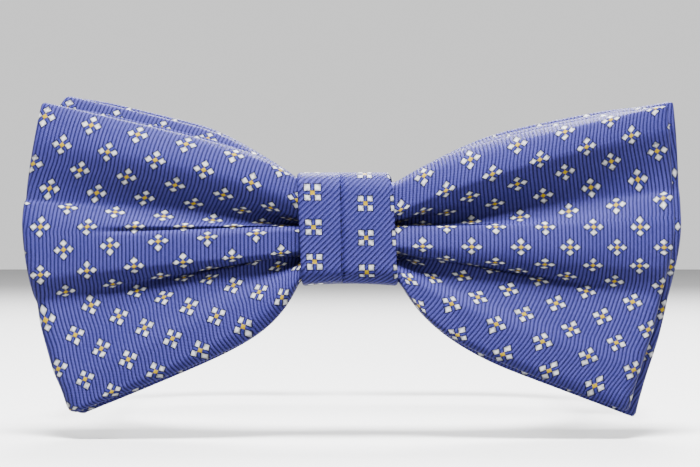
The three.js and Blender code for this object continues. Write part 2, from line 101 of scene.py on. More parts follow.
RIGHT_WING = [
    (0, 9.2, 22.1, 0.17, 12, 2.6, 2.2),
    (2.6, 8.2, 21.3, 0.24, 18, 4.6, 5.0),
    (7.2, 3.4, 17.6, 0.22, 20, 5.2, 5.8),
    (11.8, 1.7, 13.7, 0.2, 24, 3.0, 3.5),
    (16.4, 1.4, 8.8, 0.165, 24, 0.0, 0.9),
    (18.4, 1.25, 6.5, 0.12, 14, 0.0, 0.4),
    (21.0, 1.0, 4.4, 0.15, 14, 0.3, 1.7),
    (25.6, 0.6, 0.4, 0.0, 20, 3.4, 4.2),
    (30.2, -3.2, -3.5, 0.0, 20, 4.8, 4.6),
    (34.8, -4.5, -7.1, 0.0, 15, 3.0, 3.9),
    (39.4, -4.8, -9.9, -0.11, 10, 0.0, 1.0),
    (41.6, -4.9, -11.2, -0.16, 10, 0.0, 0.5),
    (44.0, -5.05, -12.9, -0.235, 8, 0.0, 1.2),
    (48.6, -5.25, -17.2, -0.29, 8, 0.0, 2.2),
    (53.2, -5.6, -21.8, -0.27, 16, 0.8, 3.0),
    (57.8, -8.0, -26.2, -0.27, 16, 4.2, 3.6),
    (62.4, -8.95, -30.9, -0.33, 5.5, 4.2, 3.4),
    (STRIP, -9.35, -33.7, -0.385, 5.3, 3.2, 2.6),
]

# For each wing: its lines, its reach at the top corner, the farthest point and the bottom corner,
# where the cloth has a small tuck, and how far the weave runs ahead above and below the middle.
# start is where the weave begins beside the knot.
WINGS = {
    -1: {
        "lines": LEFT_WING,
        "reach": (58.4, 62.2, 52.3),
        "tuck": (26.7, 40, 52),
        "lead": (0.165, -0.065),
        "start": 0.1,
    },
    1: {
        "lines": RIGHT_WING,
        "reach": (59.8, 61.8, 52.9),
        "tuck": (24.2, 22, 34),
        "lead": (-0.03, 0.11),
        "start": 3.9,
    },
}

# The four plies, from the front of the bow to the back: where the valley floors lie and how deep
# the pleats are, at the knot, in the middle of a wing and at its end.
PLIES = [
    {"floor": (-8.4, -10.2, -9.4), "depth": (1.0, 1.0, 0.5), "lift": 0.0},
    {"floor": (-6.95, -6.6, -6.9), "depth": (1.0, 0.55, 0.5), "lift": 0.5},
    {"floor": (-5.5, -5.2, -5.4), "depth": (1.0, 0.5, 0.42), "lift": 0.0},
    {"floor": (-4.05, -1.2, -3.2), "depth": (1.0, 0.4, 0.4), "lift": 0.6},
]

# For each bow: its two plies, how far it sits to the right, how much taller each wing is above and
# below, how much longer its wings are, how far in each top corner is drawn, where its weave begins,
# and the mean length round its loop.
BOWS = {
    "front_bow": {
        "plies": PLIES[:2],
        "shift": 0.0,
        "more": {-1: (0, 0), 1: (0, 0)},
        "reach": 0.0,
        "top_in": {-1: 0, 1: 0},
        "turn": 0.0,
        "round": 248.6,
    },
    "rear_bow": {
        "plies": PLIES[2:],
        "shift": 1.3,
        "more": {-1: (2.1, 0.35), 1: (0.9, 1.2)},
        "reach": 0.4,
        "top_in": {-1: 3.4, 1: 0},
        "turn": 3.1,
        "round": 250.4,
    },
}


# ---- Meshes ----


def add_mesh(name, points, faces, cloth=None, smooth=True):
    """A new piece. Points are in millimetres. cloth holds each face corner's place on the weave."""
    mesh = bpy.data.meshes.new(name)
    mesh.from_pydata((np.asarray(points) * MM).tolist(), [], [list(f) for f in faces])
    if cloth is not None:
        layer = mesh.uv_layers.new(name="cloth")
        layer.data.foreach_set("uv", np.asarray(cloth, np.float32).ravel())
    mesh.polygons.foreach_set("use_smooth", [smooth] * len(mesh.polygons))
    mesh.update()
    piece = bpy.data.objects.new(name, mesh)
    bpy.context.scene.collection.objects.link(piece)
    return piece


def ring_faces(along, around, first=0, inward=False):
    """Faces of a surface that closes on itself in both directions, with the corners' grid places."""
    i, j = np.meshgrid(np.arange(along), np.arange(around), indexing="ij")
    corners = [(i, j), (i + 1, j), (i + 1, j + 1), (i, j + 1)]
    if inward:
        corners = corners[::-1]
    grid = np.stack([np.stack(c, -1).reshape(-1, 2) for c in corners], 1)
    faces = first + (grid[..., 0] % along) * around + grid[..., 1] % around
    return faces, grid


def smooth_step(value, low, high):
    share = np.clip((value - low) / (high - low), 0, 1)
    return share * share * (3 - 2 * share)


def through(places, values, at):
    """Values between places, on a smooth line that never overshoots. at has one place per row."""
    step = np.diff(places)
    rise = np.diff(values, axis=-1) / step
    before, after = rise[..., :-1], rise[..., 1:]
    total = np.where(np.abs(before + after) < 1e-9, 1e-9, before + after)
    slope = np.empty_like(values)
    slope[..., 1:-1] = np.where(before * after > 0, 2 * before * after / total, 0)
    slope[..., 0], slope[..., -1] = rise[..., 0], rise[..., -1]
    k = np.clip(np.searchsorted(places, at, side="right") - 1, 0, len(places) - 2)
    rows = np.arange(len(at))
    t, width = (at - places[k]) / step[k], step[k]
    low, high = values[:, rows, k], values[:, rows, k + 1]
    leave, arrive = slope[:, rows, k] * width, slope[:, rows, k + 1] * width
    return (
        (2 * t**3 - 3 * t**2 + 1) * low
        + (t**3 - 2 * t**2 + t) * leave
        + (3 * t**2 - 2 * t**3) * high
        + (t**3 - t**2) * arrive
    )


# ---- Bow loops ----


def reach_of(wing, across):
    """How far out a wing reaches at each row of cloth."""
    top, far, bottom = wing["reach"]
    above = np.clip((25 - across) / 25, 0, 1) ** 1.4
    below = np.clip((across - 25) / (STRIP - 25), 0, 1) ** 1.5
    return far - (far - top) * above - (far - bottom) * below


def along_wing(distance, knot, middle, end):
    """A value that changes smoothly from the knot to the middle of a wing, and on to its end."""
    value = knot + (middle - knot) * smooth_step(distance, KNOT_EDGE, 36)
    return value + (end - middle) * smooth_step(distance, 36, 61)


def ply_middle(ply, wing, distance, across, more):
    """Height and depth of the middle of one ply at distances from the knot, for rows of cloth."""
    lines = np.array(wing["lines"], float)
    places, knot, out, slope, flare, stand_knot, stand_out = lines.T
    # Each line runs straight far out, and flares away from that as it nears the knot.
    past = np.maximum(distance, KNOT_EDGE)[..., None]
    straight = out + slope * (past - 50)
    at_knot = out + slope * (KNOT_EDGE - 50)
    fading = np.exp((KNOT_EDGE - past) / flare)
    spread = np.interp(places, [0, STRIP], [more[0], -more[1]])
    height = straight + (knot - at_knot) * fading + spread * smooth_step(past, 10, 30)
    lift = ply["lift"] * np.clip((TOP_ROWS - places) / TOP_ROWS, 0, 1)
    height = height + lift * smooth_step(past, 14, 30) * (1 - smooth_step(past, 46, 57))
    stand = stand_out + (stand_knot - stand_out) * np.exp((KNOT_EDGE - past) / 11)
    z = through(places, height, across)
    forward = through(places, stand, across)
    tuck_at, tuck_from, tuck_to = wing["tuck"]
    tuck = np.exp(-(((across - tuck_at) / 0.6) ** 2)) * (1 - smooth_step(distance, tuck_from, tuck_to))
    forward = forward - tuck * smooth_step(distance, 10, 14)
    # Inside the knot the cloth is squeezed in height and depth.
    inside = np.clip(distance / KNOT_EDGE, 0, 1) ** 2
    z = z * (KNOT_DRAW_IN + (1 - KNOT_DRAW_IN) * inside)
    floor = along_wing(distance, *ply["floor"])
    depth = along_wing(distance, *ply["depth"]) * (0.8 + 0.2 * inside)
    y = floor - depth * forward + 2.5 * (distance / 62) ** 2
    return y, z


def loop_stations(fine):
    """Places round a loop: hand, ply, and a share of the way out or an angle of the end turn."""
    wing_steps, turn_steps = (50, 7) if fine else (16, 4)
    out = [("wing", s) for s in np.linspace(0, 1, wing_steps)]
    turn = [("turn", a) for a in np.linspace(0, math.pi / 2, turn_steps + 1)[1:]]
    way_out = out + turn
    stations = []
    for hand in (-1, 1):
        first, second = (0, 1) if hand < 0 else (1, 0)
        stations += [(hand, first, kind, s) for kind, s in way_out]
        stations += [(hand, second, kind, s) for kind, s in way_out[-2::-1]]
        stations += [("middle", second)]
    return stations


def section_rows(thickness, inset, fine):
    """Rows across the strip and the half thickness at each, which rounds off at the folded edges."""
    if fine:
        rows = np.concatenate([[0, 0.06, 0.2, 0.42, 0.75], np.arange(1.15, STRIP - 1.1, 0.5)])
        rows = np.concatenate([rows, STRIP - np.array([0.75, 0.42, 0.2, 0.06, 0])])
    else:
        rows = np.linspace(inset, STRIP - inset, 57)
    half = thickness / 2
    edge = np.clip(np.minimum(rows - rows[0], rows[-1] - rows) / half, 0, 1)
    return rows, half * np.sqrt(1 - (1 - edge) ** 2)


def loop_row_points(bow, station, rows):
    """The middle of the cloth at one station of a loop, with a point for each row."""
    if station[0] == "middle":
        hand, ply, distance, gap = 1, station[1], np.zeros(len(rows)), 1.0
    else:
        hand, ply, kind, s = station
        reach = reach_of(WINGS[hand], rows) + bow["reach"]
        turn_from = reach - END_TURN
        if kind == "wing":
            out_share = smooth_step(s, 0.2, 1)
            distance, gap = KNOT_EDGE - UNDER_KNOT + s * (turn_from - KNOT_EDGE + UNDER_KNOT), 1.0
        else:
            out_share = 1.0
            distance, gap = turn_from + END_TURN * math.sin(s), math.cos(s)
        drawn_in = bow["top_in"][hand] * np.clip((TOP_ROWS - rows) / TOP_ROWS, 0, 1) ** 1.5
        distance = distance - drawn_in * out_share
    wing, more = WINGS[hand], bow["more"][hand]
    this, z = ply_middle(bow["plies"][ply], wing, distance[None, :], rows, more)
    other, _ = ply_middle(bow["plies"][1 - ply], wing, distance[None, :], rows, more)
    centre = (this + other) / 2
    y = centre + (this - centre) * gap
    x = hand * distance + bow["shift"] * smooth_step(distance, 10, 50)
    return np.stack([x, y[0], z[0]], -1)


def weave_along(bow, stations, rows, middles):
    """How far along the weave each row lies at each station, counted outwards from the knot."""
    steps = np.linalg.norm(np.diff(middles, axis=0, append=middles[:1]), axis=-1)
    along = np.zeros((len(stations) + 1, len(rows)))
    for hand in (-1, 1):
        own = [i for i, station in enumerate(stations) if station[0] == hand]
        above, below = WINGS[hand]["lead"]
        lead = np.where(rows < MIDDLE_ROW, above * (MIDDLE_ROW - rows), below * np.maximum(rows - 39, 0))
        length = np.zeros(len(rows))
        order = own if hand < 0 else own[::-1]
        for n, i in enumerate(order):
            if n > 0:
                length = length + steps[min(i, order[n - 1])]
            along[i] = length + lead + WINGS[hand]["start"] + bow["turn"]
    for i, station in enumerate(stations):
        if station[0] == "middle":
            along[i] = along[i - 1] - KNOT_EDGE * 0.5
    along[-1] = along[0] - KNOT_EDGE * 0.5
    return along


def loop_surface(bow, thickness, inset, fine):
    """Points of a flattened loop of cloth, and the place of each on the weave."""
    rows, half = section_rows(thickness, inset, fine)
    stations = loop_stations(fine)
    middles = np.array([loop_row_points(bow, station, rows) for station in stations])
    run = np.roll(middles, -1, 0) - np.roll(middles, 1, 0)
    run[..., 2] = 0
    run /= np.linalg.norm(run, axis=-1, keepdims=True)
    out = np.stack([-run[..., 1], run[..., 0], np.zeros(run.shape[:2])], -1)
    front, back = middles + out * half[:, None], middles - out * half[:, None]
    points = np.concatenate([front[:, :-1], back[:, :0:-1]], 1)
    u = weave_along(bow, stations, rows, middles)
    u = np.concatenate([u[:, :-1], u[:, :0:-1], u[:, :1]], 1)
    across = np.concatenate([rows[:-1], 2 * STRIP - rows[:0:-1], [2 * STRIP]])
    return points, np.stack([u, np.broadcast_to(across, u.shape)], -1)


def sew_sleeve(name, bow):
    """A silk sleeve in a flattened loop, hollow for its interlining."""
    skin, weave = loop_surface(bow, SLEEVE, 0, True)
    pocket, pocket_weave = loop_surface(bow, POCKET, POCKET_INSET, False)
    faces, grid = ring_faces(*skin.shape[:2])
    inner, inner_grid = ring_faces(*pocket.shape[:2], skin.shape[0] * skin.shape[1], True)
    points = np.concatenate([skin.reshape(-1, 3), pocket.reshape(-1, 3)])
    cloth = [weave[grid[..., 0], grid[..., 1]], pocket_weave[inner_grid[..., 0], inner_grid[..., 1]]]
    return add_mesh(name, points, np.concatenate([faces, inner]), np.concatenate(cloth))


def cut_interlining(name, bow):
    """The canvas strip that fills the sleeve."""
    points, weave = loop_surface(bow, INTERLINING, INTERLINING_INSET, False)
    faces, grid = ring_faces(*points.shape[:2])
    return add_mesh(name, points.reshape(-1, 3), faces, weave[grid[..., 0], grid[..., 1]])


# ---- Materials ----


class Value:
    """A number that varies over a surface, used in Python sums."""

    def __init__(self, finish, socket):
        self.finish, self.socket = finish, socket

    def sum(self, operation, *others):
        return self.finish.add("Math", {"operation": operation}, self, *others)

    def __add__(self, other):
        return self.sum("ADD", other)

    __radd__ = __add__

    def __mul__(self, other):
        return self.sum("MULTIPLY", other)

    __rmul__ = __mul__

    def __sub__(self, other):
        return self.sum("SUBTRACT", other)

    def __rsub__(self, other):
        return self.finish.add("Math", {"operation": "SUBTRACT"}, other, self)

    def __abs__(self):
        return self.sum("ABSOLUTE")

    def wrapped(self, step):
        return self.sum("WRAP", step / 2, -step / 2)

    def larger(self, other):
        return self.sum("MAXIMUM", other)

    def smaller(self, other):
        return self.sum("MINIMUM", other)

    def waves(self, length):
        """1 on the crests of waves of a length, and 0 between them."""
        return (self * (2 * math.pi / length)).sum("COSINE") * 0.5 + 0.5

    def below(self, limit, softness):
        """1 where this is less than limit, 0 past it, with a soft edge."""
        scaled = (limit - self) * (1 / softness) + 0.5
        return self.finish.add("Clamp", {}, scaled)


class Finish:
    """A material on Blender's own surface shader."""

    def __init__(self, name, **settings):
        self.material = bpy.data.materials.new(name)
        self.material.use_nodes = True
        self.tree = self.material.node_tree
        self.shader = next(n for n in self.tree.nodes if n.type == "BSDF_PRINCIPLED")
        for socket, value in settings.items():
            self.shader.inputs[socket.replace("_", " ")].default_value = value

    def add(self, kind, settings, *inputs, output=0, **named):
        """A node, with its settings made first and its sockets then filled by order or by name."""
        named = {socket.replace("_", " "): value for socket, value in named.items()}
        return Value(self, self.node(kind, settings, {**dict(enumerate(inputs)), **named}).outputs[output])

    def node(self, kind, settings, sockets):
        node = self.tree.nodes.new("ShaderNode" + kind)
        for key, value in settings.items():
            setattr(node, key, value)
        for socket, value in sockets.items():
            if isinstance(value, Value):
                self.tree.links.new(value.socket, node.inputs[socket])
            else:
                node.inputs[socket].default_value = value
        return node

    def mixed(self, share, low, high):
        """A colour between two, each an (r, g, b) or another colour."""
        low, high = [c if isinstance(c, Value) else (*c, 1) for c in (low, high)]
        node = self.node("Mix", {"data_type": "RGBA"}, {0: share, 6: low, 7: high})
        return Value(self, node.outputs[2])

    def parts(self, vector):
        node = self.node("SeparateXYZ", {}, {0: vector})
        return [Value(self, node.outputs[i]) for i in range(3)]

    def grain(self, scale, detail, vector=None):
        """Smooth noise, over the cloth's own weave unless another vector is given."""
        settings = {"noise_dimensions": "3D" if vector else "2D"}
        return self.add("TexNoise", settings, Vector=vector or self.cloth(), Scale=scale, Detail=detail)

    def cloth(self):
        return self.add("UVMap", {"uv_map": "cloth"})

    def place(self):
        return self.add("TexCoord", {}, output=3)

    def wear(self, colour=None, roughness=None, height=None, strength=1.0):
        if colour is not None:
            self.tree.links.new(colour.socket, self.shader.inputs["Base Color"])
        if roughness is not None:
            self.tree.links.new(roughness.socket, self.shader.inputs["Roughness"])
        if height is not None:
            bump = self.add("Bump", {}, Strength=strength, Distance=MM, Height=height)
            self.tree.links.new(bump.socket, self.shader.inputs["Normal"])
        return self.material


REPP_RIDGE = (0.0185, 0.0172, 0.081)
# Painted shade: the colour in the grooves between the repp's ribs, far darker than the ridges.
REPP_GROOVE_SHADE = (0.0009, 0.001, 0.0082)
REPP_DULL = (0.0048, 0.0052, 0.036)
MOTIF_WHITE = (0.22, 0.22, 0.225)
# The dark end of the painted shade on the white petals.
MOTIF_PETAL_SHADE = (0.022, 0.023, 0.034)
MOTIF_GOLD = (0.145, 0.098, 0.0008)
MOTIF_OCHRE = (0.075, 0.048, 0.0006)
MOTIF_SHADOW = (0.0003, 0.0004, 0.0045)
MOTIF_BAR = (0.0085, 0.0092, 0.058)

# Measures of one motif in the weave, in millimetres
FIRST_ROW = 2.6  # from the strip's edge to the first row of motifs
DIAGONAL = math.sqrt(0.5)
PETAL_OUT = 0.9  # from the motif's middle to a petal's, along each diagonal
PETAL_HALF = 0.52
RIM_HALF = 0.7
GOLD_HALF = 0.38
BAR_HALF = 0.19
BAR_REACH = 1.42
PICK = 0.24  # from one weft thread to the next
FLOAT = 0.3  # from one satin float to the next, inside a motif


def silk_repp(name):
    """Ribbed blue silk with rows of small four-petalled motifs, each with a gold centre."""
    silk = Finish(name, Roughness=0.5, Sheen_Weight=0.002, Sheen_Roughness=0.4, Specular_IOR_Level=0.02)
    u, v, _ = silk.parts(silk.cloth())
    wander = silk.grain(0.09, 2.0)
    fuzz = silk.grain(4.5, 2.0)
    slub = silk.grain(1.3, 1.0)
    rib_u = u + (fuzz - 0.5) * 0.2 + v.waves(FLOAT) * 0.12 - 0.06
    rib = rib_u.waves(RIB)
    rounded = 1 - (1 - rib) * (1 - rib)
    pick = v.waves(PICK)
    # p and q run along the diagonals of the nearest motif, from its middle.
    along = u * (2 * MOTIF_ROW / MOTIF_STEP)
    p = abs(((along + v - FIRST_ROW) * DIAGONAL).wrapped(2 * MOTIF_ROW * DIAGONAL))
    q = abs(((along - v + FIRST_ROW) * DIAGONAL).wrapped(2 * MOTIF_ROW * DIAGONAL))
    petal = abs(p - PETAL_OUT).larger(abs(q - PETAL_OUT))
    reach, spine = p.larger(q), p.smaller(q)
    white = petal.below(PETAL_HALF, 0.08)
    rim = petal.below(RIM_HALF, 0.12)
    gold = reach.below(GOLD_HALF, 0.1)
    bar = spine.below(BAR_HALF, 0.08) * reach.below(BAR_REACH, 0.12)
    satin = (u + v).waves(FLOAT)
    # Painted shade: the colour darkens into the grooves between ribs and, slightly, between weft picks.
    ground = silk.mixed(rounded * (pick * 0.16 + 0.84), REPP_GROOVE_SHADE, REPP_RIDGE)
    ground = silk.mixed((wander - 0.5) * 0.5 + (slub - 0.5) * 0.7 + 0.15, ground, REPP_DULL)
    ground = silk.mixed(rim * 0.85, ground, MOTIF_SHADOW)
    ground = silk.mixed(bar * 0.75, ground, MOTIF_BAR)
    # Painted shade: each white petal is darker towards its edges, as if it were rounded under the light. The
    # satin stripes and slubs mixed in are the weave's own.
    shade = petal * -1.9 + satin * 0.45 + (slub - 0.5) * 1.3 + 0.95
    ground = silk.mixed(white, ground, silk.mixed(shade, MOTIF_PETAL_SHADE, MOTIF_WHITE))
    colour = silk.mixed(gold, ground, silk.mixed(satin * 0.5, MOTIF_GOLD, MOTIF_OCHRE))
    motif = white.larger(gold)
    height = rib * (1 - motif) * 0.09 + motif * (satin * 0.02 + 0.11) + bar * 0.05 + pick * rib * 0.012
    roughness = 0.52 - motif * 0.14 + (fuzz - 0.5) * 0.2
    return silk.wear(colour, roughness, height, 0.75)


def wool_canvas(name):
    """Undyed plain weave with slubs."""
    canvas = Finish(name, Roughness=0.95, Sheen_Weight=0.2)
    u, v, _ = canvas.parts(canvas.cloth())
    weave = (u.waves(0.6) * 2 - 1) * (v.waves(0.6) * 2 - 1) * 0.5 + 0.5
    slub = canvas.grain(1.2, 3.0)
    colour = canvas.mixed(weave * 0.6 + slub * 0.4, (0.5, 0.44, 0.34), (0.82, 0.77, 0.67))
    return canvas.wear(colour, slub * 0.1 + 0.85, weave * 0.08 + slub * 0.05)


def sewing_thread(name):
    """Twisted blue thread."""
    thread = Finish(name, Roughness=0.6, Sheen_Weight=0.02, Specular_IOR_Level=0.2)
    u, v, _ = thread.parts(thread.cloth())
    twist = (u + v).waves(0.35)
    lint = thread.grain(5000.0, 2.0, thread.place())
    colour = thread.mixed(twist * 0.8 + lint * 0.2, (0.02, 0.03, 0.13), (0.10, 0.14, 0.42))
    return thread.wear(colour, lint * 0.2 + 0.5, twist * 0.05)


def nickel(name):
    """Satin nickel plate, brushed along the height of each piece."""
    metal = Finish(name, Metallic=1.0, Specular_IOR_Level=0.5)
    place = metal.place()
    brush = metal.grain(1.0, 3.0, metal.add("Mapping", {}, Vector=place, Scale=(900.0, 900.0, 9000.0)))
    cloud = metal.grain(260.0, 2.0, place)
    colour = metal.mixed(cloud, (0.13, 0.13, 0.128), (0.25, 0.246, 0.238))
    return metal.wear(colour, brush * 0.2 + cloud * 0.1 + 0.18, brush * 0.05)


def pale_paper(name):
    paper = Finish(name, Roughness=0.9, Specular_IOR_Level=0.2)
    grain = paper.grain(700.0, 2.0, paper.place())
    return paper.wear(paper.mixed(grain, (0.25, 0.25, 0.252), (0.27, 0.27, 0.272)), None, grain * 0.02)


SILK = silk_repp("silk_repp")
CANVAS = wool_canvas("wool_canvas")
THREAD = sewing_thread("sewing_thread")
NICKEL = nickel("satin_nickel")


def dress(piece, material, slot, body, *stands_for):
    """Gives a piece its material, its body and the CAD pieces it stands for."""
    piece.data.materials.clear()
    piece.data.materials.append(material)
    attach(piece, body)
    if stands_for:
        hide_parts(*stands_for)
    return piece


def make_bows():
    for name, bow in BOWS.items():
        length = round(bow["round"] * MM, 4)
        silk = sew_sleeve(f"{name}_sleeve", bow)
        dress(silk, SILK, "silk", "bow", f"{name}_silk")
        core = cut_interlining(f"{name}_canvas", bow)
        dress(core, CANVAS, "interlining", "bow", f"{name}_interlining")


# ---- Knot ----

KNOT_HALF = 9.0
KNOT_FRONT = -15.6
KNOT_HIGH = 10.8
KNOT_CORNER = 3.6
KNOT_SILK = 0.75
KNOT_ROLL = 1.35  # thickness of the rolled side edges
TIER_EDGE = -1.3  # where the upper fold ends, across the knot
TIER = 0.7  # how far the upper fold stands over the lower one
SEAM_AT = -7.4
LINING_GAP = 0.08  # between the knot's silk and its interlining


def knot_outline(count):
    """Points round the knot in Y and Z, with directions outwards and the length so far."""
    back, front, high, r = 0.0, KNOT_FRONT, KNOT_HIGH, KNOT_CORNER
    straights = [
        ((back - r, -high), (front + r, -high), (0, -1)),
        ((front, -high + r), (front, high - r), (-1, 0)),
        ((front + r, high), (back - r, high), (0, 1)),
        ((back, high - r), (back, -high + r), (1, 0)),
    ]
    points, outs = [], []
    for index, (start, end, out) in enumerate(straights):
        steps = count if index % 2 else count // 2
        for t in np.linspace(0, 1, steps, endpoint=False):
            points.append((start[0] + (end[0] - start[0]) * t, start[1] + (end[1] - start[1]) * t))
            outs.append(out)
        following = straights[(index + 1) % 4]
        centre = (end[0] - out[0] * r, end[1] - out[1] * r)
        for t in np.linspace(0, math.pi / 2, 8, endpoint=False):
            turned = (
                out[0] * math.cos(t) + following[2][0] * math.sin(t),
                out[1] * math.cos(t) + following[2][1] * math.sin(t),
            )
            points.append((centre[0] + turned[0] * r, centre[1] + turned[1] * r))
            outs.append(turned)
    points, outs = np.array(points), np.array(outs)
    steps = np.linalg.norm(np.diff(points, axis=0, append=points[:1]), axis=1)
    return points, outs, np.concatenate([[0], np.cumsum(steps)])


def offset_rings(points, outs, offset, x):
    """Rings of points at each x, moved outwards by offset from an outline in Y and Z."""
    rings = np.zeros((len(points), np.shape(x)[-1], 3))
    rings[..., 0] = x
    rings[..., 1:] = points[:, None] + outs[:, None] * np.broadcast_to(offset, rings.shape[:2])[..., None]
    return rings


def knot_columns():
    """Places across the knot, closer together at its edges and at the upper fold's edge."""
    edge = np.array([0, 0.05, 0.18, 0.38, 0.62])
    left = np.concatenate([-KNOT_HALF + edge, np.arange(-8.1, TIER_EDGE - 0.5, 0.5)])
    fold = TIER_EDGE + np.array([-0.5, -0.32, -0.18, -0.07, -0.01, 0.0, 0.03, 0.1, 0.25, 0.5])
    right = np.concatenate([np.arange(-0.3, 8.2, 0.5), KNOT_HALF - edge[::-1]])
    return np.concatenate([left, fold, right])


def wrap_knot():
    """The knot: a folded strip wound round the bow, its upper fold overlapping the lower one."""
    points, outs, length = knot_outline(44)
    y, z = points.T
    x = knot_columns()
    upper = x <= TIER_EDGE - 0.005
    # How far the silk stands out from the outline: the two tiers, the soft crown, the rounded
    # side edges, the seam at the back and a slight pull in the cloth.
    rise = TIER * np.sqrt(np.clip(1 - (1 - np.clip((TIER_EDGE - x) / 0.45, 0, 1)) ** 2, 0, 1)) * upper
    dip = -0.5 * np.exp(-(np.clip(x - TIER_EDGE, 0, KNOT_HALF) / 0.4) ** 2) * ~upper
    side = np.clip(np.minimum(x + KNOT_HALF, KNOT_HALF - x) / 0.7, 0, 1)
    rounded = -0.7 * (1 - np.sqrt(1 - (1 - side) ** 2))
    facing = np.clip(-outs[:, 0], 0, 1)
    crown = 0.35 * (1 - (z / KNOT_HIGH) ** 2) * facing
    seam = -0.45 * np.exp(-(((z - SEAM_AT) / 0.45) ** 2)) * np.clip(outs[:, 0], 0, 1)
    pull = 0.125 * np.sin(z / 3.1 + 1.0)[:, None] * np.exp(-((x - TIER_EDGE) ** 2) / 20) * facing[:, None]
    lift = rounded + (rise + dip) * smooth_step(facing, 0.25, 1)[:, None] + crown[:, None]
    lift = lift + seam[:, None] + pull
    seen = smooth_step(-y, -1, 4)[:, None]

    def leaned(x):
        """The folded edges lean a little to the left, and the upper right corner is pulled in."""
        lean = np.where(x < TIER_EDGE, -0.5 - 0.045 * z[:, None], -0.35 - 0.05 * z[:, None])
        pulled = smooth_step(z, 6.5, KNOT_HIGH)[:, None] * np.clip(x - 4, 0, 5) * -0.1
        return x + seen * (lean + pulled) * np.where(np.abs(x) > 3, np.abs(x / KNOT_HALF), 0.35)

    outer = offset_rings(points, outs, lift, leaned(x))
    arch = ((z < 0) * (np.abs(z) > KNOT_HALF) * 0.45)[:, None]
    outer[..., 2] += arch * (1 - (x / KNOT_HALF) ** 2)
    inner_x = np.concatenate([[9, 8.4, 8.1, 7.9], np.linspace(7, -7, 9), [-7.9, -8.1, -8.4, -9]])
    wall = np.where(np.abs(inner_x) > 8.0, KNOT_ROLL, KNOT_SILK)
    inner = offset_rings(points, outs, -wall, leaned(inner_x) * 0.995)
    surface = np.concatenate([outer, inner], 1)
    faces, grid = ring_faces(*surface.shape[:2])
    # The weave starts at one place on the upper fold, and at another on the lower one, which is a
    # different part of the strip. It runs at 45 degrees to the knot's edges.
    column = (grid[..., 1].min(1) + 0.5)[:, None]
    lower = (column > np.count_nonzero(upper) - 1) & (column < len(x))
    start_x, start_z = np.where(lower, 3.25, -6.4), np.where(lower, -1.6, 0.4)
    middle = np.argmin(np.abs(z) + 100 * (facing < 0.9))
    across = np.concatenate([x, 2 * KNOT_HALF - inner_x, [x[0] + 4 * KNOT_HALF]])
    up = length - length[middle] + z[middle]
    p = across[grid[..., 1]] - start_x
    q = up[grid[..., 0]] - start_z
    weave = np.stack([(p - q) * DIAGONAL * MOTIF_STEP / (2 * MOTIF_ROW), (p + q) * DIAGONAL + FIRST_ROW], -1)
    return add_mesh("knot_wrap", surface.reshape(-1, 3), faces, weave)


def close_band(name, outer, inner, length, across):
    """A ring of cloth or thread with an outer and an inner face."""
    surface = np.concatenate([outer, inner], 1)
    faces, grid = ring_faces(*surface.shape[:2])
    weave = np.stack(np.broadcast_arrays(length[:, None], across[None]), -1)
    return add_mesh(name, surface.reshape(-1, 3), faces, weave[grid[..., 0], grid[..., 1]])


def line_knot():
    """The knot's interlining, a plain ring that lies in the silk's turned-in edges."""
    points, outs, length = knot_outline(20)
    x = np.linspace(-7.3, 6.9, 9)
    outer = offset_rings(points, outs, -(KNOT_SILK + LINING_GAP), x)
    inner = offset_rings(points, outs, -(KNOT_ROLL - LINING_GAP), x[::-1])
    across = np.concatenate([x, 16 - x[::-1], [x[0] + 32]])
    return close_band("knot_canvas", outer, inner, length, across)


def wind_thread():
    """The gathering thread, wound side by side round the middle of the bow."""
    middle_y, half_deep, half_high, half_wide = -8.5, 5.1, 8.7, 2.4
    points, outs, length = knot_outline(20)
    narrow, low = half_deep / -(KNOT_FRONT / 2), half_high / KNOT_HIGH
    ring = np.stack([middle_y + (points[:, 0] - KNOT_FRONT / 2) * narrow, points[:, 1] * low], -1)
    x = np.linspace(-half_wide, half_wide, 57)
    ripple = 0.2 + 0.1 * np.abs(np.sin(x / 0.6 * math.pi)) * (np.abs(x) < half_wide - 0.02)
    outer = offset_rings(ring, outs, ripple, x)
    inner = offset_rings(ring, outs, -0.28, np.linspace(half_wide, -half_wide, 5))
    across = np.concatenate([x, np.linspace(2.6, 7.4, 5), [7.6]])
    return close_band("winding_turns", outer, inner, length, across)


# ---- Straps ----

STRAP_THICK = 1.0
STRAP_WIDE = 16.0
STRAP_SEAM = 0.28  # depth of the groove at its seam
STRAP_FRONT = -2.3  # Y of the straps where they meet behind the knot
STRAP_START = 0.15
STRAP_BACK = 118.7
BAR_LOOP = 1.5  # radius of a strap's middle line round a metal bar


def route(x, y, heading, runs, side=1):
    """Points along a strap's middle line: straights (length,) and turns (radius, degrees)."""
    points = [(x, y)]
    for size, *turn in runs:
        turn = math.radians(turn[0]) if turn else 0.0
        length = size * abs(turn) if turn else size
        steps = max(1, math.ceil(max(length / 1.2, abs(turn) / math.radians(9))))
        for _ in range(steps):
            chord = 2 * size * math.sin(abs(turn) / steps / 2) if turn else size / steps
            heading += turn / steps / 2
            x += chord * math.cos(heading)
            y += chord * math.sin(heading)
            heading += turn / steps / 2
            points.append((x, y))
    line = np.array(points)
    line[:, 0] *= side
    return line


